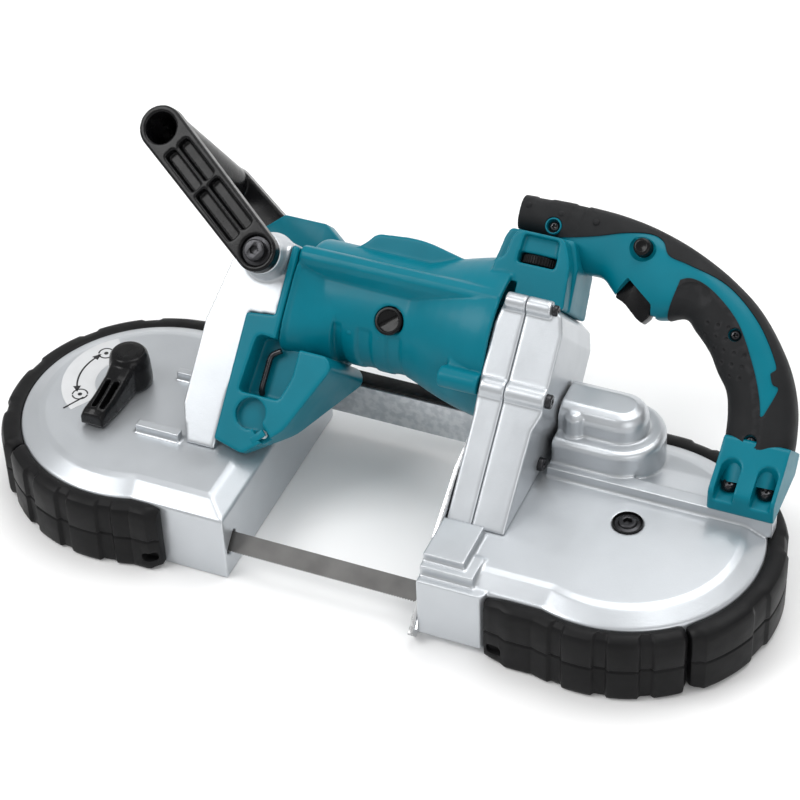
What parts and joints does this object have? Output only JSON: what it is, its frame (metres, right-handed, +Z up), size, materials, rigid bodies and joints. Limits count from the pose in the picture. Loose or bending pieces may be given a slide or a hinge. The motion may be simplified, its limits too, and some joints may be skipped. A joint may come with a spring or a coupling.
{
  "type": "portable band saw",
  "caption": "Cordless deep-cut band saw: blade on guarded wheels, a motor and gear case tilted over an open throat, D handle with trigger, front tube handle.",
  "frame": {"origin": "middle of the bounding box's underside", "axes": "+X along the cutting stretch of the blade towards the drive wheel, +Y towards the back of the throat, +Z up out of the wheel plane"},
  "size_m": [0.5209, 0.2652, 0.2175],
  "materials": {
    "silver": "silver-grey painted aluminium castings, semi-gloss with a faint grain",
    "teal": "teal glass-filled nylon, fine texture with a soft sheen",
    "black": "black moulded nylon with a clear sheen",
    "rubber": "black moulded rubber, satin",
    "grip": "dark grey soft rubber, matt",
    "steel": "bright ground steel",
    "dark_steel": "blackened steel",
    "copper": "varnished copper windings",
    "lens": "clear moulded lamp lens"
  },
  "bodies": {
    "chassis": {"idler_housing": "silver", "drive_housing": "silver", "idler_arm": "silver", "gear_case": "silver", "gear_cover": "silver", "rear_bar": "silver", "motor_housing": "teal", "side_block": "teal", "battery_mount": "teal", "handle_front_half": "teal", "handle_rear_half": "teal", "brush_cap_front": "black", "brush_cap_rear": "black", "switch_body": "black", "terminal_block": "black", "front_handle": "black", "rear_bar_strip": "rubber", "bumper_idler_front": "rubber", "bumper_drive_front": "rubber", "rim_idler": "rubber", "rim_drive": "rubber", "blade": "steel", "bearing_front": "steel", "bearing_rear": "steel", "spindle_cap_screw": "dark_steel", "guide_block_left": "dark_steel", "guide_block_right": "dark_steel", "stator": "dark_steel", "hex_key": "dark_steel", "foot_screw_1": "dark_steel", "foot_screw_2": "dark_steel", "handle_bolt_front": "dark_steel", "handle_bolt_rear": "dark_steel", "led_lens": "lens"},
    "rotor": {"motor_shaft": "steel", "armature": "copper", "cooling_fan": "black"},
    "counter": {"countershaft": "steel", "counter_gear": "dark_steel"},
    "intermediate": {"intermediate_shaft": "steel", "bevel_gear": "dark_steel"},
    "drive": {"drive_spindle": "steel", "spindle_gear": "dark_steel", "drive_wheel": "silver", "drive_tyre": "rubber"},
    "carriage": {"idler_carriage": "steel", "idler_axle": "steel", "tension_spring": "dark_steel"},
    "idler": {"idler_wheel": "silver", "idler_tyre": "rubber"},
    "lever": {"tension_lever": "black", "tension_cam": "dark_steel"},
    "stopper": {"stopper_plate": "steel"},
    "trigger_key": {"trigger": "black"},
    "lock_key": {"lock_button": "black"},
    "dial": {"speed_dial": "grip"},
    "roller_left_inner": {"guide_roller_left_inner": "steel"},
    "roller_left_outer": {"guide_roller_left_outer": "steel"},
    "roller_right_inner": {"guide_roller_right_inner": "steel"},
    "roller_right_outer": {"guide_roller_right_outer": "steel"}
  },
  "joints": [
    {"name": "motor_spin", "type": "hinge", "parent": "chassis", "child": "rotor", "pos_m": [0, 0.04373, 0.10605], "axis": [1, 0, 0], "continuous": true},
    {"name": "countershaft_spin", "type": "hinge", "parent": "chassis", "child": "counter", "pos_m": [0.062, 0.0211, 0.08343], "axis": [1, 0, 0], "continuous": true},
    {"name": "intermediate_spin", "type": "hinge", "parent": "chassis", "child": "intermediate", "pos_m": [0.13809, 0.0211, 0.06], "axis": [0, 0, 1], "continuous": true},
    {"name": "drive_wheel_spin", "type": "hinge", "parent": "chassis", "child": "drive", "pos_m": [0.162, -0.0361, 0.029], "axis": [0, 0, 1], "continuous": true},
    {"name": "tension_lever_turn", "type": "hinge", "parent": "chassis", "child": "lever", "pos_m": [-0.183, -0.0226, 0.056], "axis": [0, 0, 1], "range_deg": [-180, 0]},
    {"name": "idler_slide", "type": "slide", "parent": "chassis", "child": "carriage", "axis": [1, 0, 0], "range_m": [0, 0.008]},
    {"name": "idler_wheel_spin", "type": "hinge", "parent": "carriage", "child": "idler", "pos_m": [-0.162, -0.0361, 0.029], "axis": [0, 0, 1], "continuous": true},
    {"name": "stopper_slide", "type": "slide", "parent": "chassis", "child": "stopper", "axis": [0, 0.7071, 0.7071], "range_m": [0, 0.012]},
    {"name": "trigger_pull", "type": "slide", "parent": "chassis", "child": "trigger_key", "axis": [0, 0.7071, 0.7071], "range_m": [0, 0.006], "stiffness_N_per_m": 900, "springref_m": -0.002},
    {"name": "lock_press", "type": "slide", "parent": "chassis", "child": "lock_key", "axis": [0, 0.7071, -0.7071], "range_m": [0, 0.004], "stiffness_N_per_m": 600, "springref_m": -0.001},
    {"name": "speed_dial_turn", "type": "hinge", "parent": "chassis", "child": "dial", "pos_m": [0.0685, 0.06431, 0.15689], "axis": [0, 0.7071, 0.7071], "range_deg": [0, 270]},
    {"name": "guide_roller_left_inner_spin", "type": "hinge", "parent": "chassis", "child": "roller_left_inner", "pos_m": [-0.086, -0.10384, 0.02028], "axis": [0, 0.7071, 0.7071], "continuous": true},
    {"name": "guide_roller_left_outer_spin", "type": "hinge", "parent": "chassis", "child": "roller_left_outer", "pos_m": [-0.086, -0.10936, 0.0258], "axis": [0, 0.7071, 0.7071], "continuous": true},
    {"name": "guide_roller_right_inner_spin", "type": "hinge", "parent": "chassis", "child": "roller_right_inner", "pos_m": [0.07, -0.10384, 0.02028], "axis": [0, 0.7071, 0.7071], "continuous": true},
    {"name": "guide_roller_right_outer_spin", "type": "hinge", "parent": "chassis", "child": "roller_right_outer", "pos_m": [0.07, -0.10936, 0.0258], "axis": [0, 0.7071, 0.7071], "continuous": true}
  ],
  "couplings": [
    {"joint": "countershaft_spin", "follows": "motor_spin", "ratio": -0.33333},
    {"joint": "intermediate_spin", "follows": "motor_spin", "ratio": 0.16667},
    {"joint": "drive_wheel_spin", "follows": "motor_spin", "ratio": -0.04},
    {"joint": "idler_wheel_spin", "follows": "motor_spin", "ratio": -0.04},
    {"joint": "tension_lever_turn", "follows": "idler_slide", "rad_per_m": -392.7},
    {"joint": "guide_roller_left_inner_spin", "follows": "motor_spin", "ratio": -0.9285},
    {"joint": "guide_roller_left_outer_spin", "follows": "motor_spin", "ratio": 0.9285},
    {"joint": "guide_roller_right_inner_spin", "follows": "motor_spin", "ratio": -0.9285},
    {"joint": "guide_roller_right_outer_spin", "follows": "motor_spin", "ratio": 0.9285}
  ]
}
